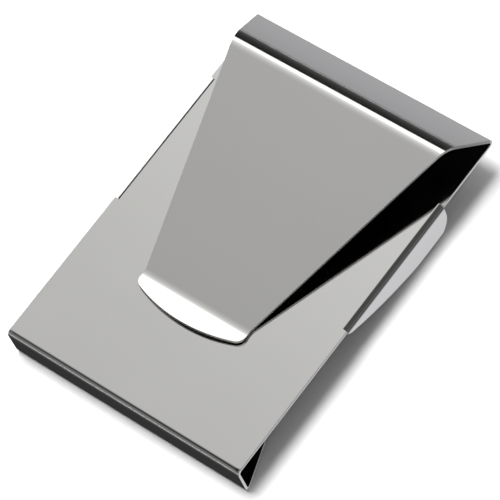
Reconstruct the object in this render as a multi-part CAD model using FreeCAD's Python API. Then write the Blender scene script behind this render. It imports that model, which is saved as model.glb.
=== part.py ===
"""Double-sided money clip, pressed and folded from one strip of stainless sheet.

Frame, in millimetres: X across the width, +Y towards the hem of the money spring, +Z up out of the
money side. The origin is at the middle of the length and width, on the level that the clip lies on.
The strip is followed along its centre line in the YZ plane, one flat or one bend at a time, and
each stretch between two bend lines becomes its own solid.
"""
import FreeCAD, Part
import math
import os

V = FreeCAD.Vector

# ---- driving dimensions ----------------------------------------------------------------------
sheet = 0.6                    # thickness of the strip
card_width = 54.0              # a standard card, short side
card_side_clearance = 0.4      # between the card and each ear
overall_length = 79.2          # outside of the card wall to outside of the hem
money_height = 7.55            # top of the crest above the plate's money face
card_depth = 7.3               # lowest line of the clip below the plate's money face
contact_gap = 0.1              # between each tongue's bend and the plate

# inside radii of the bends
hem_inner_radius = 0.35
crest_inner_radius = 4.9
lip_inner_radius = 5.0
shoulder_inner_radius = 0.6
fold_inner_radius = 0.3
ear_inner_radius = 0.6

# money spring
ramp_angle = 40.4              # rise of the ramp above the plate, degrees
money_lip_reach = 55.6         # hem's outside to the money tongue's contact line
# card spring
card_lip_reach = 46.0          # card wall's outside to the card tongue's contact line

# lips, the same on both tongues
lip_angle = 9.5                # flare of the lip away from the plate, degrees
lip_length = 4.1               # flat of the lip, from its bend to the middle of the tip
lip_width = 25.4               # tongue width at the lip bend, money side
card_lip_width = 30.6          # tongue width at the lip bend, card side
tip_bow = 2.5                  # how far the tip's middle stands beyond its sides
lip_corner_radius = 2.0
corner_share = 0.95            # the most of the room beside the tip that a corner may take

# ears
ear_length = 30.1
ear_hem_gap = 15.6             # from the ear's deep end to the outside of the hem
ear_nose_radius = 4.5          # round nose at the deep end
ear_nose_setback = 4.5         # from the ear's end back to the middle of the nose
ear_toe_depth = 1.9            # depth of the shallow end below the money face
ear_belly_radius = 80.0        # long curve of the lower edge

# ---- sizes that follow from them --------------------------------------------------------------
plate_width = card_width + 2 * (card_side_clearance + sheet)
half_width = plate_width / 2
plate_top = card_depth
plate_bottom = plate_top - sheet
y_wall = -overall_length / 2
y_hem = overall_length / 2
hem_outer_radius = hem_inner_radius + sheet
shoulder_outer_radius = shoulder_inner_radius + sheet
fold_outer_radius = fold_inner_radius + sheet
ear_outer_radius = ear_inner_radius + sheet
ear_end = y_hem - ear_hem_gap
ear_start = ear_end - ear_length


def mid(inner_radius):
    """Centre-line radius of a bend."""
    return inner_radius + sheet / 2


# ---- the strip's centre line ------------------------------------------------------------------
class Station:
    """A place on the centre line: y, z and the heading in degrees, 0 along +Y and 90 along +Z."""

    def __init__(self, y, z, heading):
        self.y = y
        self.z = z
        self.heading = heading

    def along(self, distance):
        a = math.radians(self.heading)
        return Station(self.y + distance * math.cos(a), self.z + distance * math.sin(a), self.heading)

    def side(self, offset):
        """The point that far to the left of the heading, across the sheet."""
        a = math.radians(self.heading + 90)
        return self.y + offset * math.cos(a), self.z + offset * math.sin(a)

    def turned(self, angle, radius):
        """The station at the end of a bend, angle positive to the left."""
        way = math.copysign(1, angle)
        cy, cz = self.side(way * radius)
        end = Station(cy, cz, self.heading + angle)
        y, z = end.side(-way * radius)
        return Station(y, z, end.heading)


def flat(start, length, half_a, half_b):
    """A flat stretch of the strip, tapering from half width half_a to half_b."""
    end = start.along(length)
    corners = []
    for station, half in ((start, half_a), (end, half_b)):
        y, z = station.side(-sheet / 2)
        sides = (-half, half) if station is start else (half, -half)
        corners += [V(x, y, z) for x in sides]
    face = Part.Face(Part.makePolygon(corners + corners[:1]))
    a = math.radians(start.heading + 90)
    return face.extrude(V(0, sheet * math.cos(a), sheet * math.sin(a))), end


def bend(start, angle, inner_radius, half_a, half_b):
    """A bend of the strip, tapering from half width half_a to half_b along its chord."""
    radius = mid(inner_radius)
    end = start.turned(angle, radius)
    middle = start.turned(angle / 2, radius)
    edges = []
    rims = []
    for offset in (-sheet / 2, sheet / 2):
        points = [V(0, *station.side(offset)) for station in (start, middle, end)]
        edges.append(Part.Arc(*points).toShape())
        rims.append(points)
    edges.append(Part.makeLine(rims[0][0], rims[1][0]))
    edges.append(Part.makeLine(rims[0][2], rims[1][2]))
    section = Part.Face(Part.Wire(Part.__sortEdges__(edges)))
    widest = max(half_a, half_b)
    section.translate(V(-widest, 0, 0))
    solid = section.extrude(V(2 * widest, 0, 0))
    if half_a != half_b:
        solid = solid.common(taper_prism(start, end, middle, half_a, half_b, radius))
    return solid, end


def taper_prism(start, end, middle, half_a, half_b, reach):
    """The wedge between a tapering bend's two side edges, cut square to the bend's middle."""
    ca = math.radians(middle.heading)
    chord = V(0, math.cos(ca), math.sin(ca))
    square = V(0, -math.sin(ca), math.cos(ca))
    a = V(0, start.y, start.z)
    b = V(0, end.y, end.z)
    run = (b - a).dot(chord)
    grow = (half_b - half_a) / run
    overrun = sheet
    a = a - chord * overrun - square * reach
    b = b + chord * overrun - square * reach
    half_a = half_a - grow * overrun
    half_b = half_b + grow * overrun
    corners = [a + V(-half_a, 0, 0), a + V(half_a, 0, 0), b + V(half_b, 0, 0), b + V(-half_b, 0, 0)]
    return Part.Face(Part.makePolygon(corners + corners[:1])).extrude(square * (2 * reach))


def lip_end(start, length, half):
    """The flat end of a lip: parallel sides, small corners and a shallow arc across the tip."""
    rim = (half ** 2 + tip_bow ** 2) / (2 * tip_bow)
    rim_centre = length - rim
    # a corner never starts behind the bend line
    widest_corner = (rim ** 2 - half ** 2 - rim_centre ** 2) / (2 * (rim - half))
    corner = min(lip_corner_radius, corner_share * widest_corner)
    corner_x = half - corner
    corner_v = rim_centre + math.sqrt((rim - corner) ** 2 - corner_x ** 2)
    stretch = rim / (rim - corner)
    meet = (corner_x * stretch, rim_centre + (corner_v - rim_centre) * stretch)
    lean = math.atan2(corner_v - rim_centre, corner_x) / 2
    mid_corner = (corner_x + corner * math.cos(lean), corner_v + corner * math.sin(lean))

    def place(u, v):
        station = start.along(v)
        y, z = station.side(-sheet / 2)
        return V(u, y, z)

    edges = [Part.makeLine(place(-half, 0), place(half, 0))]
    for side in (-1, 1):
        edges.append(Part.makeLine(place(side * half, 0), place(side * half, corner_v)))
        arc = Part.Arc(place(side * half, corner_v), place(side * mid_corner[0], mid_corner[1]),
                       place(side * meet[0], meet[1]))
        edges.append(arc.toShape())
    tip = Part.Arc(place(-meet[0], meet[1]), place(0, length), place(meet[0], meet[1]))
    edges.append(tip.toShape())
    face = Part.Face(Part.Wire(Part.__sortEdges__(edges)))
    a = math.radians(start.heading + 90)
    return face.extrude(V(0, sheet * math.cos(a), sheet * math.sin(a)))


def lip(start, turn, length, half):
    """The bend that touches the plate and the flared end beyond it, in one solid."""
    curve, end = bend(start, turn, lip_inner_radius, half, half)
    return curve.fuse(lip_end(end, length, half)).removeSplitter()


def tongue_slope(run, climb, radius_a, radius_b):
    """Angle of the straight between two bends whose tops are run apart and climb different."""
    rise = radius_a + radius_b - climb
    return math.degrees(math.asin((radius_a + radius_b) / math.hypot(run, rise)) - math.atan2(rise, run))


# ---- sub-parts --------------------------------------------------------------------------------
def make_plate():
    """The flat base between the shoulder and the hem, narrowed where the ears are bent down."""
    low = y_wall + shoulder_outer_radius
    length = (y_hem - hem_outer_radius) - low
    plate = Part.makeBox(plate_width, length, sheet, V(-half_width, low, plate_bottom))
    for x in (-half_width, half_width - ear_outer_radius):
        corner = V(x, ear_start, plate_bottom)
        plate = plate.cut(Part.makeBox(ear_outer_radius, ear_length, sheet, corner))
    return plate


def ear_fin():
    """The fin of an ear, drawn on the plane X = 0: a round nose and a long, bowed lower edge."""
    top = plate_top - ear_outer_radius
    heel = V(0, ear_end, top)
    toe_top = V(0, ear_start, top)
    toe = V(0, ear_start + ear_toe_depth / 2, plate_top - ear_toe_depth)
    nose = V(0, heel.y - ear_nose_setback, ear_nose_radius)

    # the straight from the heel touches the nose
    out = heel - nose
    lean = math.atan2(out.z, out.y) - math.acos(ear_nose_radius / out.Length)
    touch = nose + V(0, math.cos(lean), math.sin(lean)) * ear_nose_radius

    # the long curve passes through the toe and touches the nose from outside
    reach = ear_belly_radius - ear_nose_radius
    across = toe - nose
    part_way = (reach ** 2 - ear_belly_radius ** 2 + across.Length ** 2) / (2 * across.Length)
    unit = across * (1 / across.Length)
    rise = V(0, unit.z, -unit.y) * math.sqrt(reach ** 2 - part_way ** 2)
    belly = nose + unit * part_way + rise
    meet = nose + (nose - belly) * (ear_nose_radius / reach)
    half_way = ((meet + toe) * 0.5 - belly).normalize() * ear_belly_radius + belly
    nose_mid = ((meet + touch) * 0.5 - nose).normalize() * ear_nose_radius + nose

    edges = [Part.makeLine(toe_top, heel), Part.makeLine(heel, touch),
             Part.Arc(touch, nose_mid, meet).toShape(), Part.Arc(meet, half_way, toe).toShape(),
             Part.makeLine(toe, toe_top)]
    return Part.Face(Part.Wire(Part.__sortEdges__(edges)))


def make_right_ear():
    """The bend down from the plate's edge, and the fin that holds the card's side."""
    centre_x = half_width - ear_outer_radius
    centre_z = plate_top - ear_outer_radius
    ring = []
    for radius in (ear_inner_radius, ear_outer_radius):
        lean = radius * math.sqrt(0.5)
        points = [V(centre_x, 0, centre_z + radius), V(centre_x + lean, 0, centre_z + lean),
                  V(centre_x + radius, 0, centre_z)]
        ring.append(points)
    edges = [Part.Arc(*points).toShape() for points in ring]
    edges.append(Part.makeLine(ring[0][0], ring[1][0]))
    edges.append(Part.makeLine(ring[0][2], ring[1][2]))
    section = Part.Face(Part.Wire(Part.__sortEdges__(edges)))
    section.translate(V(0, ear_start, 0))
    curve = section.extrude(V(0, ear_length, 0))
    fin = ear_fin().extrude(V(sheet, 0, 0))
    fin.translate(V(half_width - sheet, 0, 0))
    return curve.fuse(fin).removeSplitter()


def mirrored(shape):
    """The same piece on the other side of the clip."""
    return shape.mirror(V(0, 0, 0), V(1, 0, 0))


def make_money_spring():
    """Hem, ramp, crest, tongue and lip over the money side."""
    radius = mid(crest_inner_radius)
    lip_radius = mid(lip_inner_radius)
    start = Station(y_hem - hem_outer_radius, plate_top - sheet / 2, 0)
    hem, at = bend(start, 180 - ramp_angle, hem_inner_radius, half_width, half_width)

    ramp_rise = (plate_top + money_height - sheet / 2) - at.z
    ramp_rise = ramp_rise - radius * (1 - math.cos(math.radians(ramp_angle)))
    ramp_length = ramp_rise / math.sin(math.radians(ramp_angle))
    crest_start = at.along(ramp_length)
    crest_top = crest_start.turned(ramp_angle, radius)
    run = crest_top.y - (y_hem - money_lip_reach)
    climb = money_height - sheet - contact_gap
    slope = tongue_slope(run, climb, radius, lip_radius)
    tongue_length = run - (radius + lip_radius) * math.sin(math.radians(slope))
    tongue_length = tongue_length / math.cos(math.radians(slope))

    crest_turn = ramp_angle + slope
    crest_length = radius * math.radians(crest_turn)
    taper = (half_width - lip_width / 2) / (ramp_length + crest_length + tongue_length)
    half_ramp = half_width - taper * ramp_length
    half_crest = half_ramp - taper * crest_length
    ramp, at = flat(at, ramp_length, half_width, half_ramp)
    crest, at = bend(at, crest_turn, crest_inner_radius, half_ramp, half_crest)
    tongue, at = flat(at, tongue_length, half_crest, lip_width / 2)
    end = lip(at, -(slope + lip_angle), lip_length, lip_width / 2)
    return {"money_hem": hem, "money_ramp": ramp, "money_crest": crest, "money_tongue": tongue,
            "money_lip": end}


def make_card_spring():
    """Shoulder, wall, fold, tongue and lip under the card side."""
    start = Station(y_wall + shoulder_outer_radius, plate_top - sheet / 2, 180)
    shoulder, at = bend(start, 90, shoulder_inner_radius, half_width, half_width)
    wall_length = card_depth - shoulder_outer_radius - fold_outer_radius
    wall, at = flat(at, wall_length, half_width, half_width)

    radius = mid(fold_inner_radius)
    lip_radius = mid(lip_inner_radius)
    bottom = at.turned(90, radius)
    run = (y_wall + card_lip_reach) - bottom.y
    climb = plate_bottom - contact_gap - sheet
    slope = tongue_slope(run, climb, radius, lip_radius)
    tongue_length = run - (radius + lip_radius) * math.sin(math.radians(slope))
    tongue_length = tongue_length / math.cos(math.radians(slope))
    fold, at = bend(at, 90 + slope, fold_inner_radius, half_width, half_width)
    tongue, at = flat(at, tongue_length, half_width, card_lip_width / 2)
    end = lip(at, -(slope + lip_angle), lip_length, card_lip_width / 2)
    return {"card_shoulder": shoulder, "card_wall": wall, "card_fold": fold, "card_tongue": tongue,
            "card_lip": end}


def make_parts():
    parts = {"plate": make_plate()}
    parts["right_ear"] = make_right_ear()
    parts["left_ear"] = mirrored(parts["right_ear"])
    parts.update(make_money_spring())
    parts.update(make_card_spring())
    return parts


os.makedirs("parts", exist_ok=True)
for name, shape in make_parts().items():
    solid = shape.Solids[0] if len(shape.Solids) == 1 else shape
    solid.exportStep("parts/%s.step" % name)
    box = solid.BoundBox
    print("%-14s %8.2f mm3  valid %s  solids %d  x %.2f %.2f  y %.2f %.2f  z %.2f %.2f" % (
        name, solid.Volume, solid.isValid(), len(shape.Solids), box.XMin, box.XMax, box.YMin,
        box.YMax, box.ZMin, box.ZMax))
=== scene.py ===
"""Double-sided money clip: one strip of polished stainless sheet, blanked, pressed and folded.

The strip is shaped in three pieces that meet at bend lines: the clip body with its two ears, the
money spring and the card spring. Each is grown, bend by bend, from a flat stretch of the frame.
"""
import math

import bmesh
import bpy
from mathutils import Matrix, Quaternion, Vector


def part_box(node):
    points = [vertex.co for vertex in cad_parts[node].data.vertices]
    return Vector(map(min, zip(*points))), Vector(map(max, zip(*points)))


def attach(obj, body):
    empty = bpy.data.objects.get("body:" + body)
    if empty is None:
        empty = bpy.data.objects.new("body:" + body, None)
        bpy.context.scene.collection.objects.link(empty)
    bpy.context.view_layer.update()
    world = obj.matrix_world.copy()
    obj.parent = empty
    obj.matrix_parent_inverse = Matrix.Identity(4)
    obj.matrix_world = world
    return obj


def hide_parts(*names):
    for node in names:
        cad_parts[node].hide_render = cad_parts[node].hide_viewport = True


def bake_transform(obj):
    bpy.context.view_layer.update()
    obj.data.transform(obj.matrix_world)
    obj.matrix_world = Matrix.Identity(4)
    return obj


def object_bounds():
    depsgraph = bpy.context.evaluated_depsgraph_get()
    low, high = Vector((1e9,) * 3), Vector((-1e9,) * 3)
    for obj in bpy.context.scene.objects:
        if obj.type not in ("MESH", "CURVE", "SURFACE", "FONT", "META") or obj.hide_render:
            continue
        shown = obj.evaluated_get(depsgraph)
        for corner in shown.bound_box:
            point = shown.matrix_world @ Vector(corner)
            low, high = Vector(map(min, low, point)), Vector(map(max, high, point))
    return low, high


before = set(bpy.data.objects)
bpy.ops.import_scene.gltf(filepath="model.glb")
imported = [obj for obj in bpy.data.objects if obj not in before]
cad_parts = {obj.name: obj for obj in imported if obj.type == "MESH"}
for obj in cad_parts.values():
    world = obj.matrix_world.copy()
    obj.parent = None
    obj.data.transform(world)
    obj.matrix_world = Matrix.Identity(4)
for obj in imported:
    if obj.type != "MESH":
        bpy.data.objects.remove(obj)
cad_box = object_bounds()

MM = 0.001
SAME_PLACE = 2e-6

# the finished edge of the sheet
EDGE_ROUND = 0.14 * MM
EDGE_STEPS = 3
SHARP_ANGLE = math.radians(50)
SMOOTH_ANGLE = math.radians(30)
FACE_WEIGHT = 80

# lips
LIP_INNER_RADIUS = 5.0 * MM
LIP_FLARE = math.radians(9.5)
LIP_FLAT = 4.1 * MM
TIP_BOW = 2.5 * MM
LIP_CORNER = 2.0 * MM
LIP_CORNER_STEPS = 10
TIP_STEPS = 32

# ears
EAR_INNER_RADIUS = 0.6 * MM
EAR_NOSE_RADIUS = 4.5 * MM
EAR_NOSE_SETBACK = 4.5 * MM
EAR_TOE_DEPTH = 1.9 * MM
EAR_BELLY_RADIUS = 80.0 * MM
EAR_BEND_STEPS = 14
EAR_NOSE_STEPS = 16
EAR_BELLY_STEPS = 20

# the turn of each step round a tight bend and round a wide one
TIGHT_STEP = math.radians(6.0)
WIDE_STEP = math.radians(1.5)

# the way from the plate's end of the hem to its ramp end, and from the wall to the card tongue
HEM_WAY = Vector((0, -0.2, 0.98))
FOLD_WAY = Vector((0, 1, -1)).normalized()

# camera
AZIMUTH = math.radians(60.76)
ELEVATION = math.radians(58.05)
ROLL = math.radians(-26.54)
DISTANCE = 744 * MM
AIM = Vector((0.0, -0.9, 4.0)) * MM
LENS = 288.0
SENSOR = 36.0
NEAR_LIMIT = 10 * MM
FAR_LIMIT = 10000 * MM

# the steel and its cut edge: dark and light tones, and how fine each mark is
STEEL_TONES = ((0.632, 0.626, 0.611), (0.656, 0.651, 0.638))
ROLLING_LINES = (7000, 60, 60)
HAZE_SCALE = 45.0
FILM_SCALE = 95.0
HAIRLINES = ((0.35, 240.0), (1.3, 180.0), (2.5, 210.0))
HAIRLINE_STRETCH = (60, 0.3, 1)
STEEL_ROUGHNESS = 0.06
EDGE_TONES = ((0.72, 0.715, 0.70), (0.80, 0.795, 0.78))
EDGE_STROKES = (4200, 4200, 400)
EDGE_PATCHES = 400.0
EDGE_ROUGHNESS = 0.32

# the tent: its level from low to high along Y, its foot in degrees above the floor, its side
TENT_LEVELS = ((-0.45, 0.05), (-0.22, 0.12), (-0.10, 0.42), (-0.02, 0.55), (-0.01, 0.555),
               (0.12, 0.65), (0.23, 0.735), (0.28, 0.86), (0.36, 1.00), (0.42, 1.30), (0.46, 1.85),
               (1.0, 1.85))
TENT_TOP = 1.85
TENT_FOOT = (38.0, 39.5)
TENT_SIDE = (-0.9, 0.44, 0.0)
TENT_SIDE_EDGE = (0.08, 0.38)
# the room below the tent, by elevation in degrees
ROOM_LEVELS = ((0.0, 0.190), (4.5, 0.115), (11.6, 0.062), (18.6, 0.036), (24.7, 0.026), (37.0, 0.0))
SURROUNDINGS = 0.014
# fills behind, before and beside the clip, on the side away from the tent, and where each begins
BACK_FILL = 0.55
FRONT_FILL = 0.50
SIDE_FILL = 0.075
RIGHT_EDGE = (0.36, 0.44)
BEHIND_EDGE = (0.66, 0.76)
BEFORE_EDGE = (0.49, 0.57)
RAISED_LEVELS = ((0.05, 0.25), (0.30, 1.0))
# a round fill low down, before the clip and to its left
NEAR_FILL = 0.22
NEAR_WAY = Vector((-0.66, -0.70, 0.25)).normalized()
NEAR_EDGE = (0.80, 0.97)
# the key
KEY_LEVEL = 6.2
KEY_ANGLE = math.radians(34)
KEY_WAY = (-0.33, 0.11, 0.94)

# the floor and the pale wall round it
FLOOR_SIZE = 4.0
FLOOR_DROP = 0.02 * MM
PAPER_TONES = ((0.58, 0.58, 0.584), (0.62, 0.62, 0.624))
PAPER_FIBRE = 900.0
PAPER_ROUGHNESS = 0.95
WALL_RADIUS = 1.9
WALL_HEIGHT = 3.0
WALL_WHITE = (0.97, 0.97, 0.97, 1)

# cards on the floor that only the steel reflects, painting its reflections in place of the floor: their
# reach, and levels from the clip outwards
LAVENDER = (0.965, 0.96, 1.0)
CARD_LIFT = 0.01 * MM
FRONT_CARD_SIDE = 150 * MM
FRONT_CARD_REACH = 70 * MM
BACK_CARD_SIDE = 300 * MM
BACK_CARD_GAP = 20 * MM
BACK_CARD_END = 500 * MM
EAR_CARD_GAP = 0.3 * MM
EAR_CARD_END = 90 * MM
FAR_CARD_END = 1500 * MM
# the front card is a dark sheet before the drop: painted shade, which the wall reflects in place of the
# floor
FRONT_SHADE_CARD_LEVELS = ((0.0, 0.040), (0.06, 0.055), (0.25, 0.20), (1.0, 0.24))
# the back card is bright by the hem and dimmer outwards: painted reflection for the ramp
BACK_CARD_LEVELS = ((0.0, 0.62), (0.08, 0.54), (0.17, 0.36), (0.30, 0.24), (1.0, 0.19))
# the ear card is bright beside the ear, then dark further out: painted reflection, dark as painted shade
EAR_CARD_LEVELS = ((0.0, 0.86), (0.055, 0.90), (0.09, 0.62), (0.15, 0.30), (0.26, 0.12), (1.0, 0.10))
FAR_CARD_LEVELS = ((0.0, 0.10), (1.0, 0.14))


# ---- reading the frame --------------------------------------------------------------------------
class Flat:
    """A flat stretch of the strip: its centre line in the YZ plane and its half width at each end."""

    def __init__(self, node, toward):
        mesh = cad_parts[node].data
        normal = max(mesh.polygons, key=lambda face: face.area).normal
        along = Vector((0, normal.z, -normal.y)).normalized()
        if along.dot(Vector(toward)) < 0:
            along = -along
        self.along = along
        self.left = Vector((0, -along.z, along.y))
        points = [v.co for v in mesh.vertices]
        reach = [p.dot(along) for p in points]
        height = [p.dot(self.left) for p in points]
        middle = self.left * ((min(height) + max(height)) / 2)
        self.start = along * min(reach) + middle
        self.end = along * max(reach) + middle
        self.half_start = max(abs(p.x) for p, r in zip(points, reach) if r < min(reach) + SAME_PLACE)
        self.half_end = max(abs(p.x) for p, r in zip(points, reach) if r > max(reach) - SAME_PLACE)


def turn_between(a, b):
    """The turn from heading a to heading b, positive to the left."""
    return math.atan2(a.y * b.z - a.z * b.y, a.y * b.y + a.z * b.z)


low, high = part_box("plate")
SHEET = high.z - low.z
PLATE_LEVEL = (high.z + low.z) / 2
HALF_WIDTH = high.x
plate_flat = Flat("plate", (0, -1, 0))
wall_flat = Flat("card_wall", (0, 0, -1))
ramp_flat = Flat("money_ramp", (0, 0, 1))
money_flat = Flat("money_tongue", (0, -1, 0))
card_flat = Flat("card_tongue", (0, 1, 0))


# ---- edit-mode helpers --------------------------------------------------------------------------
def pick(kind, test):
    """Selects only the vertices, edges or faces that pass the test."""
    mesh = bpy.context.object.data
    bpy.ops.mesh.select_mode(type=kind)
    bpy.ops.mesh.select_all(action="DESELECT")
    shape = bmesh.from_edit_mesh(mesh)
    for part in {"VERT": shape.verts, "EDGE": shape.edges, "FACE": shape.faces}[kind]:
        if test(part):
            part.select_set(True)
    shape.select_flush_mode()
    bmesh.update_edit_mesh(mesh)


def in_section(co, place):
    """True where a point lies on that line across the strip."""
    return math.hypot(co.y - place.y, co.z - place.z) < SAME_PLACE


def pick_row(place):
    pick("EDGE", lambda edge: all(in_section(v.co, place) for v in edge.verts))


def pick_point(place):
    pick("VERT", lambda vert: (vert.co - place).length < SAME_PLACE)


def spin(turn, centre, axis, steps):
    """Turns the selection about an axis by the right-hand rule, leaving faces or edges behind."""
    bpy.ops.mesh.spin(steps=steps, angle=-turn, center=centre, axis=axis)


def new_flat(name, flat):
    """A plane laid on a flat stretch, tapered as the strip is, in edit mode."""
    bpy.ops.object.select_all(action="DESELECT")
    lean = math.atan2(flat.along.z, flat.along.y)
    middle = (flat.start + flat.end) / 2
    bpy.ops.mesh.primitive_plane_add(size=1, location=middle, rotation=(lean, 0, 0))
    size = (2 * flat.half_start, (flat.end - flat.start).length, 1)
    bpy.ops.transform.resize(value=size, orient_type="LOCAL")
    bpy.ops.object.transform_apply(location=True, rotation=True, scale=True)
    piece = bpy.context.object
    piece.name = name
    piece.data.name = name
    bpy.ops.object.mode_set(mode="EDIT")
    if flat.half_end != flat.half_start:
        pick_row(flat.end)
        bpy.ops.transform.resize(value=(flat.half_end / flat.half_start, 1, 1), center_override=flat.end)
    return piece


def bend(start, heading, turn, radius, step, half_start, half_end):
    """Bends the row at start on round a radius, tapering as it goes. Returns the row's new place."""
    left = Vector((0, -heading.z, heading.y))
    centre = start + left * math.copysign(radius, turn)
    steps = max(2, round(abs(turn) / step))
    pick_row(start)
    half = half_start
    for done in range(1, steps + 1):
        spin(turn / steps, centre, (1, 0, 0), 1)
        wanted = half_start + (half_end - half_start) * done / steps
        if half_end != half_start:
            bpy.ops.transform.resize(value=(wanted / half, 1, 1), center_override=centre)
        half = wanted
    arm = start - centre
    arm.rotate(Quaternion((1, 0, 0), turn))
    return centre + arm


def bend_between(start, heading, end, end_heading, step, half_start, half_end):
    """Bends the row at start round to meet the next flat stretch."""
    turn = turn_between(heading, end_heading)
    radius = (end - start).length / (2 * math.sin(abs(turn) / 2))
    return bend(start, heading, turn, radius, step, half_start, half_end)


def carry_on(start, end, half_start, half_end):
    """Draws the row at start on, straight to end."""
    pick_row(start)
    bpy.ops.mesh.extrude_region_move(TRANSFORM_OT_translate={"value": end - start})
    if half_end != half_start:
        bpy.ops.transform.resize(value=(half_end / half_start, 1, 1), center_override=end)


def fill_outline(test):
    """Makes one face inside the edges that pass the test."""
    pick("EDGE", test)
    bpy.ops.mesh.edge_face_add()


# ---- the lip's rounded end ----------------------------------------------------------------------
def lip(flat, tip_way):
    """The bend that rests on the plate, and the flared end with its corners and bowed tip."""
    half = flat.half_end
    slope = turn_between(flat.along, Vector((0, tip_way, 0)))
    flare = math.copysign(LIP_FLARE, slope)
    radius = LIP_INNER_RADIUS + SHEET / 2
    root = bend(flat.end, flat.along, slope + flare, radius, WIDE_STEP, half, half)
    heading = flat.along.copy()
    heading.rotate(Quaternion((1, 0, 0), slope + flare))

    rim = (half ** 2 + TIP_BOW ** 2) / (2 * TIP_BOW)
    rim_out = LIP_FLAT - rim
    corner_x = half - LIP_CORNER
    corner_out = rim_out + math.sqrt((rim - LIP_CORNER) ** 2 - corner_x ** 2)
    corner_turn = math.atan2(corner_out - rim_out, corner_x)
    tip_turn = math.pi - 2 * corner_turn
    shoulder = root + heading * corner_out
    carry_on(root, shoulder, half, half)

    axis = Vector((1, 0, 0)).cross(heading)
    pick_point(shoulder + Vector((half, 0, 0)))
    spin(corner_turn, shoulder + Vector((corner_x, 0, 0)), axis, LIP_CORNER_STEPS)
    spin(tip_turn, root + heading * rim_out, axis, TIP_STEPS)
    spin(corner_turn, shoulder - Vector((corner_x, 0, 0)), axis, LIP_CORNER_STEPS)
    pick("VERT", lambda vert: True)
    bpy.ops.mesh.remove_doubles(threshold=SAME_PLACE)

    def beyond(edge):
        return all((v.co - shoulder).dot(heading) > -SAME_PLACE for v in edge.verts)

    fill_outline(beyond)
    pick_row(shoulder)
    bpy.ops.mesh.dissolve_edges(use_verts=False)


# ---- the ears -----------------------------------------------------------------------------------
def ear(side, ear_start, ear_end):
    """Bends the plate's edge down between two cuts, then draws the fin below it."""
    radius = EAR_INNER_RADIUS + SHEET / 2
    fold_x = side * (HALF_WIDTH - EAR_INNER_RADIUS - SHEET)
    fin_x = side * (HALF_WIDTH - SHEET / 2)
    fold_z = PLATE_LEVEL - radius
    top = PLATE_LEVEL + SHEET / 2

    def on_fold(edge):
        return all(abs(v.co.x - fold_x) < SAME_PLACE and
                   ear_start - SAME_PLACE < v.co.y < ear_end + SAME_PLACE for v in edge.verts)

    pick("EDGE", on_fold)
    spin(side * math.radians(90), (fold_x, 0, fold_z), (0, 1, 0), EAR_BEND_STEPS)

    def place(y, z):
        return Vector((fin_x, y, z))

    heel = place(ear_end, fold_z)
    toe_top = place(ear_start, fold_z)
    toe = place(ear_start + EAR_TOE_DEPTH / 2, top - EAR_TOE_DEPTH)
    nose = place(ear_end - EAR_NOSE_SETBACK, EAR_NOSE_RADIUS)

    # the straight from the heel touches the nose
    out = heel - nose
    lean = math.atan2(out.z, out.y) - math.acos(EAR_NOSE_RADIUS / out.length)
    touch = nose + Vector((0, math.cos(lean), math.sin(lean))) * EAR_NOSE_RADIUS

    # the long curve passes through the toe and touches the nose from outside
    reach = EAR_BELLY_RADIUS - EAR_NOSE_RADIUS
    across = toe - nose
    share = (reach ** 2 - EAR_BELLY_RADIUS ** 2 + across.length_squared) / (2 * across.length)
    unit = across.normalized()
    belly = nose + unit * share + Vector((0, unit.z, -unit.y)) * math.sqrt(reach ** 2 - share ** 2)
    meet = nose + (nose - belly) * (EAR_NOSE_RADIUS / reach)

    pick_point(heel)
    bpy.ops.mesh.extrude_region_move(TRANSFORM_OT_translate={"value": touch - heel})
    spin(turn_between(touch - nose, meet - nose), nose, (1, 0, 0), EAR_NOSE_STEPS)
    spin(turn_between(meet - belly, toe - belly), belly, (1, 0, 0), EAR_BELLY_STEPS)
    bpy.ops.mesh.extrude_region_move(TRANSFORM_OT_translate={"value": toe_top - toe})
    pick("VERT", lambda vert: True)
    bpy.ops.mesh.remove_doubles(threshold=SAME_PLACE)

    def on_fin(edge):
        return all(abs(v.co.x - fin_x) < SAME_PLACE and v.co.z < fold_z + SAME_PLACE
                   for v in edge.verts)

    fill_outline(on_fin)


# ---- turning a centre surface into finished sheet -----------------------------------------------
def apply_modifier(kind, **settings):
    bpy.ops.object.modifier_add(type=kind)
    modifier = bpy.context.object.modifiers[-1]
    for key, value in settings.items():
        setattr(modifier, key, value)
    bpy.ops.object.modifier_apply(modifier=modifier.name)


def thicken(piece, seams):
    """Gives the surface its thickness and rounds every edge but those where two pieces join."""
    pick("VERT", lambda vert: True)
    bpy.ops.mesh.remove_doubles(threshold=SAME_PLACE)
    bpy.ops.mesh.normals_make_consistent(inside=False)
    bpy.ops.object.mode_set(mode="OBJECT")
    for material in (polished_steel, sheared_edge):
        piece.data.materials.append(material)
    apply_modifier("SOLIDIFY", thickness=SHEET, offset=0, use_even_offset=True, material_offset_rim=1)
    bpy.ops.object.mode_set(mode="EDIT")

    def at_seam(edge):
        for place, along in seams:
            if all(abs((v.co - place).dot(along)) < SAME_PLACE and
                   math.hypot(v.co.y - place.y, v.co.z - place.z) < SHEET for v in edge.verts):
                return True
        return False

    def is_sharp(edge):
        if len(edge.link_faces) != 2 or at_seam(edge):
            return False
        return edge.calc_face_angle() > SHARP_ANGLE

    pick("EDGE", is_sharp)
    bpy.ops.mesh.bevel(offset_type="OFFSET", offset=EDGE_ROUND, segments=EDGE_STEPS, profile=0.5,
                       affect="EDGES", clamp_overlap=True)
    pick("VERT", lambda vert: True)
    bpy.ops.mesh.dissolve_degenerate(threshold=SAME_PLACE / 4)
    bpy.ops.object.mode_set(mode="OBJECT")
    bpy.ops.object.shade_smooth_by_angle(angle=SMOOTH_ANGLE)
    apply_modifier("WEIGHTED_NORMAL", mode="FACE_AREA", weight=FACE_WEIGHT, keep_sharp=True)


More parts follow.
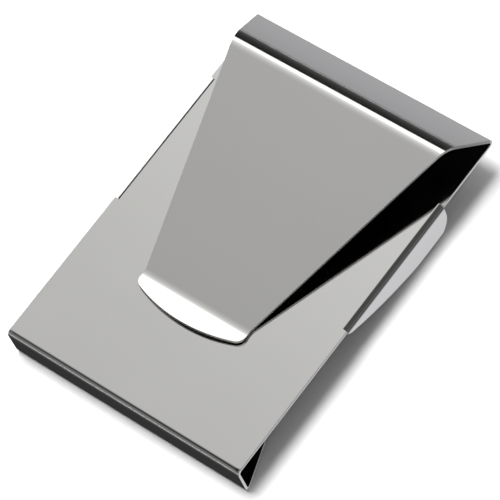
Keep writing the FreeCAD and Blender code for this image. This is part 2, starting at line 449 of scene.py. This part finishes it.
# ---- the three pieces ---------------------------------------------------------------------------
def make_clip_body():
    """The plate with its ears, the rounded shoulder and the drop to the card side."""
    piece = new_flat("clip_body_sheet", plate_flat)
    ear_low, ear_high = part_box("right_ear")
    fold_x = HALF_WIDTH - EAR_INNER_RADIUS - SHEET
    for side in (-1, 1):
        pick("FACE", lambda face: True)
        bpy.ops.mesh.bisect(plane_co=(side * fold_x, 0, 0), plane_no=(1, 0, 0))
    for y in (ear_low.y, ear_high.y):
        pick("FACE", lambda face: True)
        bpy.ops.mesh.bisect(plane_co=(0, y, 0), plane_no=(0, 1, 0))

    def is_waste(face):
        middle = face.calc_center_median()
        return abs(middle.x) > fold_x and ear_low.y < middle.y < ear_high.y

    pick("FACE", is_waste)
    bpy.ops.mesh.delete(type="FACE")
    for side in (-1, 1):
        ear(side, ear_low.y, ear_high.y)
    at = bend_between(plate_flat.end, plate_flat.along, wall_flat.start, wall_flat.along, TIGHT_STEP,
                      HALF_WIDTH, HALF_WIDTH)
    carry_on(at, wall_flat.end, HALF_WIDTH, HALF_WIDTH)
    thicken(piece, [(plate_flat.start, plate_flat.along), (wall_flat.end, wall_flat.along)])
    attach(piece, "clip_body")
    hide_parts("plate", "right_ear", "left_ear", "card_shoulder", "card_wall")


def make_money_spring():
    """The hem, the ramp, the crest and the tapered tongue with its lip."""
    piece = new_flat("money_spring_sheet", ramp_flat)
    back = bend_between(ramp_flat.start, -ramp_flat.along, plate_flat.start, plate_flat.along,
                        TIGHT_STEP, HALF_WIDTH, HALF_WIDTH)
    at = bend_between(ramp_flat.end, ramp_flat.along, money_flat.start, money_flat.along, WIDE_STEP,
                      ramp_flat.half_end, money_flat.half_start)
    carry_on(at, money_flat.end, money_flat.half_start, money_flat.half_end)
    lip(money_flat, -1)
    thicken(piece, [(back, plate_flat.along)])
    seam = plate_flat.start + Vector((0, 0, SHEET / 2))
    inner_end = ramp_flat.start + ramp_flat.left * (SHEET / 2)
    far = seam + HEM_WAY * (inner_end - seam).dot(HEM_WAY)
    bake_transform(piece)
    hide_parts("money_hem", "money_ramp", "money_crest", "money_tongue", "money_lip")


def make_card_spring():
    """The sharp fold at the foot of the drop, and the tapered tongue under the plate."""
    piece = new_flat("card_spring_sheet", card_flat)
    back = bend_between(card_flat.start, -card_flat.along, wall_flat.end, -wall_flat.along, TIGHT_STEP,
                        HALF_WIDTH, HALF_WIDTH)
    lip(card_flat, 1)
    thicken(piece, [(back, wall_flat.along)])
    seam = wall_flat.end + Vector((0, SHEET / 2, 0))
    inner_end = card_flat.start + card_flat.left * (SHEET / 2)
    far = seam + FOLD_WAY * (inner_end - seam).dot(FOLD_WAY)
    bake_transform(piece)
    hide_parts("card_fold", "card_tongue", "card_lip")


# ---- shader helpers -----------------------------------------------------------------------------
class Value:
    """A number or colour in a material, so that shader maths reads as plain expressions."""

    def __init__(self, paint, socket):
        self.paint = paint
        self.socket = socket

    def maths(self, operation, first, second):
        made = self.paint.add("ShaderNodeMath", {"operation": operation}, {0: first, 1: second})
        return made.out("Value")

    def __add__(self, other):
        return self.maths("ADD", self, other)

    def __mul__(self, other):
        return self.maths("MULTIPLY", self, other)

    __radd__ = __add__
    __rmul__ = __mul__


class Made:
    """A node that has been added, with its outputs by name."""

    def __init__(self, paint, node):
        self.paint = paint
        self.node = node

    def out(self, name):
        return Value(self.paint, self.node.outputs[name])


class Paint:
    """The node tree of one material or of the world."""

    def __init__(self, tree):
        self.tree = tree
        tree.nodes.clear()

    def add(self, kind, settings=None, inputs=None, ramp=None):
        """Adds a node: its settings first, then a ramp's stops, then its sockets."""
        node = self.tree.nodes.new(kind)
        for key, value in (settings or {}).items():
            setattr(node, key, value)
        if ramp:
            stops = node.color_ramp.elements
            while len(stops) < len(ramp):
                stops.new(0.5)
            for stop, (place, grey) in zip(stops, ramp):
                stop.position = place
                stop.color = (grey, grey, grey, 1)
        for key, value in (inputs or {}).items():
            socket = node.inputs[key]
            if isinstance(value, Value):
                self.tree.links.new(value.socket, socket)
            else:
                socket.default_value = value
        return Made(self, node)

    def noise(self, place, scale, detail, roughness=0.5):
        made = self.add("ShaderNodeTexNoise", {}, {"Vector": place, "Scale": scale, "Detail": detail,
                                                   "Roughness": roughness})
        return made.out("Fac")

    def stretched(self, place, scale, turn=(0, 0, 0)):
        made = self.add("ShaderNodeMapping", {}, {"Vector": place, "Scale": scale, "Rotation": turn})
        return made.out("Vector")

    def ramp(self, value, stops, curve="LINEAR"):
        made = self.add("ShaderNodeValToRGB", {}, {"Fac": value}, ramp=stops)
        made.node.color_ramp.interpolation = curve
        return made.out("Color")

    def mix(self, share, a, b):
        made = self.add("ShaderNodeMix", {"data_type": "RGBA"}, {"Factor": share})
        for socket, colour in ((made.node.inputs[6], a), (made.node.inputs[7], b)):
            socket.default_value = (*colour, 1)
        return Value(self, made.node.outputs[2])

    def bump(self, height, distance, strength, normal=None):
        inputs = {"Height": height, "Distance": distance, "Strength": strength}
        if normal:
            inputs["Normal"] = normal
        return self.add("ShaderNodeBump", {}, inputs).out("Normal")


def new_material(name):
    material = bpy.data.materials.new(name)
    material.use_nodes = True
    return material, Paint(material.node_tree)


def finish_material(paint, inputs):
    shader = paint.add("ShaderNodeBsdfPrincipled", {}, inputs)
    paint.add("ShaderNodeOutputMaterial", {}, {"Surface": shader.out("BSDF")})


# ---- the two finishes of the steel --------------------------------------------------------------
def make_polished_steel():
    """Mirror-polished stainless: faint rolling lines, buffing haze, finger film, a few hairlines."""
    material, paint = new_material("polished_steel")
    place = paint.add("ShaderNodeTexCoord").out("Object")
    lines = paint.noise(paint.stretched(place, ROLLING_LINES), 1.0, 2.0)
    haze = paint.noise(place, HAZE_SCALE, 3.0)
    film = paint.ramp(paint.noise(place, FILM_SCALE, 4.0, 0.6), [(0.45, 0.0), (0.75, 1.0)], "EASE")
    marks = []
    for turn, scale in HAIRLINES:
        stretch = [scale * share for share in HAIRLINE_STRETCH]
        run = paint.stretched(place, stretch, (0, 0, turn))
        marks.append(paint.ramp(paint.noise(run, 1.0, 0.0), [(0.80, 0.0), (0.84, 1.0)]))
    hairlines = marks[0] + marks[1] + marks[2]
    colour = paint.mix(haze, *STEEL_TONES)
    rough = STEEL_ROUGHNESS + lines * 0.02 + film * 0.03 + hairlines * 0.05
    wave = paint.bump(haze, 0.02 * MM, 0.10)
    grain = paint.bump(lines, 0.001 * MM, 0.05, wave)
    finish_material(paint, {"Base Color": colour, "Metallic": 1.0, "Roughness": rough,
                            "Normal": grain})
    return material


def make_sheared_edge():
    """The cut edge: striations across the thickness, brighter where the burr was polished off."""
    material, paint = new_material("sheared_edge")
    place = paint.add("ShaderNodeTexCoord").out("Object")
    strokes = paint.noise(paint.stretched(place, EDGE_STROKES), 1.0, 3.0, 0.6)
    patches = paint.noise(place, EDGE_PATCHES, 3.0)
    colour = paint.mix(patches, *EDGE_TONES)
    rough = EDGE_ROUGHNESS + strokes * 0.08 + patches * 0.06
    grain = paint.bump(strokes, 0.004 * MM, 0.15)
    finish_material(paint, {"Base Color": colour, "Metallic": 1.0, "Roughness": rough,
                            "Normal": grain})
    return material


# ---- studio -------------------------------------------------------------------------------------
def make_floor():
    """A plain sheet of pale paper, which the key lights to white."""
    bpy.ops.object.select_all(action="DESELECT")
    bpy.ops.mesh.primitive_plane_add(size=FLOOR_SIZE, location=(0, 0, cad_box[0].z - FLOOR_DROP))
    floor = bpy.context.object
    floor.name = "studio_floor"
    material, paint = new_material("studio_paper")
    place = paint.add("ShaderNodeTexCoord").out("Object")
    fibre = paint.noise(place, PAPER_FIBRE, 4.0)
    tone = paint.mix(fibre, *PAPER_TONES)
    grain = paint.bump(fibre, 0.02 * MM, 0.2)
    finish_material(paint, {"Base Color": tone, "Roughness": PAPER_ROUGHNESS, "Normal": grain})
    floor.data.materials.append(material)


def make_backdrop():
    """A pale wall all round, far off, that only the camera sees."""
    bpy.ops.object.select_all(action="DESELECT")
    bpy.ops.mesh.primitive_cylinder_add(radius=WALL_RADIUS, depth=WALL_HEIGHT, location=(0, 0, 0))
    wall = bpy.context.object
    wall.name = "studio_backdrop"
    material, paint = new_material("backdrop_white")
    shown = paint.add("ShaderNodeEmission", {}, {"Color": WALL_WHITE, "Strength": 1.0})
    paint.add("ShaderNodeOutputMaterial", {}, {"Surface": shown.out("Emission")})
    wall.data.materials.append(material)
    wall.visible_glossy = False
    wall.visible_diffuse = False
    wall.visible_shadow = False


def make_reflection_card(name, low_corner, high_corner, axis, outwards, levels):
    """A glowing card on the floor, graded outwards along one axis, seen only in reflections. It lights
    nothing: its glow is a painted reflection in the steel, standing in for the floor.
    """
    bpy.ops.object.select_all(action="DESELECT")
    size = high_corner - low_corner
    corner = low_corner if outwards > 0 else high_corner
    place = Vector((corner.x, corner.y, cad_box[0].z + CARD_LIFT))
    bpy.ops.mesh.primitive_plane_add(size=1.0, location=place)
    card = bpy.context.object
    card.name = name
    bpy.ops.object.mode_set(mode="EDIT")
    bpy.ops.transform.translate(value=(0.5 * outwards, 0.5 * outwards, 0))
    bpy.ops.transform.resize(value=(size.x, size.y, 1), center_override=place)
    bpy.ops.object.mode_set(mode="OBJECT")
    material, paint = new_material(name + "_painted_reflection")
    inside = paint.add("ShaderNodeTexCoord").out("Object")
    along = paint.add("ShaderNodeSeparateXYZ", {}, {"Vector": inside}).out(axis)
    length = size.x if axis == "X" else size.y
    # the card's glow is a painted reflection, bright or dark along the axis
    glow = paint.ramp(along * (outwards / length), levels)
    shown = paint.add("ShaderNodeEmission", {}, {"Color": (*LAVENDER, 1), "Strength": glow})
    paint.add("ShaderNodeOutputMaterial", {}, {"Surface": shown.out("Emission")})
    card.data.materials.append(material)
    card.visible_camera = False
    card.visible_diffuse = False
    card.visible_shadow = False


def make_reflection_cards():
    """Graded cards before the drop, behind the hem, and beside the right ear, near and far: painted
    reflections in the steel, with painted shade where they are dark.
    """
    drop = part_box("card_wall")[0].y
    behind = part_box("money_hem")[1].y + BACK_CARD_GAP
    beside = HALF_WIDTH + EAR_CARD_GAP
    # the front card is painted shade for the wall's reflection
    make_reflection_card("front_shade_card", Vector((-FRONT_CARD_SIDE, drop - FRONT_CARD_REACH, 0)),
              Vector((FRONT_CARD_SIDE, drop, 0)), "Y", -1, FRONT_SHADE_CARD_LEVELS)
    make_reflection_card("back_card", Vector((-BACK_CARD_SIDE, behind, 0)),
              Vector((EAR_CARD_END, BACK_CARD_END, 0)), "Y", 1, BACK_CARD_LEVELS)
    make_reflection_card("ear_card", Vector((beside, drop, 0)), Vector((EAR_CARD_END, behind, 0)), "X", 1,
              EAR_CARD_LEVELS)
    make_reflection_card("far_card", Vector((EAR_CARD_END, drop, 0)),
              Vector((FAR_CARD_END, BACK_CARD_END, 0)), "X", 1, FAR_CARD_LEVELS)


def make_world():
    """A tent on one side, graded along Y, over a dim room with fills on the other sides."""
    world = bpy.data.worlds.new("studio_tent")
    bpy.context.scene.world = world
    world.use_nodes = True
    paint = Paint(world.node_tree)
    way = paint.add("ShaderNodeTexCoord").out("Generated")

    def toward(direction):
        inputs = {0: way, 1: direction}
        return paint.add("ShaderNodeVectorMath", {"operation": "DOT_PRODUCT"}, inputs).out("Value")

    def fade(value, edge):
        return paint.ramp(value, [(edge[0], 0.0), (edge[1], 1.0)], "EASE")

    apart = paint.add("ShaderNodeSeparateXYZ", {}, {"Vector": way})
    rise = apart.out("Z")
    across = paint.ramp(apart.out("Y") * 0.5 + 0.5,
                        [(0.5 + y / 2, level / TENT_TOP) for y, level in TENT_LEVELS])
    foot = paint.ramp(rise, [(math.sin(math.radians(TENT_FOOT[0])), 0.0),
                             (math.sin(math.radians(TENT_FOOT[1])), 1.0)])
    room = paint.ramp(rise, [(math.sin(math.radians(angle)), level) for angle, level in ROOM_LEVELS])
    side = fade(toward(TENT_SIDE), TENT_SIDE_EDGE)
    light = across * foot * side * TENT_TOP + room + SURROUNDINGS
    right = fade(apart.out("X") * 0.5 + 0.5, RIGHT_EDGE)
    behind = fade(apart.out("Y") * 0.5 + 0.5, BEHIND_EDGE)
    before = fade(apart.out("Y") * -0.5 + 0.5, BEFORE_EDGE)
    raised = paint.ramp(rise, RAISED_LEVELS, "EASE")
    light = light + right * raised * (behind * BACK_FILL + before * FRONT_FILL + SIDE_FILL)
    light = light + fade(toward(NEAR_WAY), NEAR_EDGE) * NEAR_FILL
    shown = paint.add("ShaderNodeBackground", {}, {"Color": (1, 1, 1, 1), "Strength": light})
    paint.add("ShaderNodeOutputWorld", {}, {"Surface": shown.out("Background")})


def make_key_light():
    """A steep soft key for the floor and its shadow. It is hidden from reflections."""
    sun = bpy.data.lights.new("key_light", "SUN")
    sun.energy = KEY_LEVEL
    sun.angle = KEY_ANGLE
    holder = bpy.data.objects.new("key_light", sun)
    bpy.context.scene.collection.objects.link(holder)
    holder.rotation_mode = "QUATERNION"
    holder.rotation_quaternion = Vector(KEY_WAY).to_track_quat("Z", "Y")
    holder.visible_glossy = False


def make_camera():
    data = bpy.data.cameras.new("camera")
    data.lens = LENS
    data.sensor_width = SENSOR
    data.clip_start = NEAR_LIMIT
    data.clip_end = FAR_LIMIT
    camera = bpy.data.objects.new("camera", data)
    bpy.context.scene.collection.objects.link(camera)
    back = Vector((math.sin(AZIMUTH) * math.cos(ELEVATION), -math.cos(AZIMUTH) * math.cos(ELEVATION),
                   math.sin(ELEVATION)))
    level = Vector((math.cos(AZIMUTH), math.sin(AZIMUTH), 0))
    up = back.cross(level)
    right = level * math.cos(ROLL) + up * math.sin(ROLL)
    upright = back.cross(right)
    camera.rotation_mode = "QUATERNION"
    turn = Matrix((right, upright, back)).transposed().to_4x4()
    camera.matrix_world = Matrix.Translation(AIM + back * DISTANCE) @ turn
    bpy.context.scene.camera = camera


make_camera()
polished_steel = make_polished_steel()
sheared_edge = make_sheared_edge()
make_clip_body()
make_money_spring()
make_card_spring()
make_floor()
make_backdrop()
make_reflection_cards()
make_world()
make_key_light()
bpy.context.scene.view_settings.view_transform = "Standard"
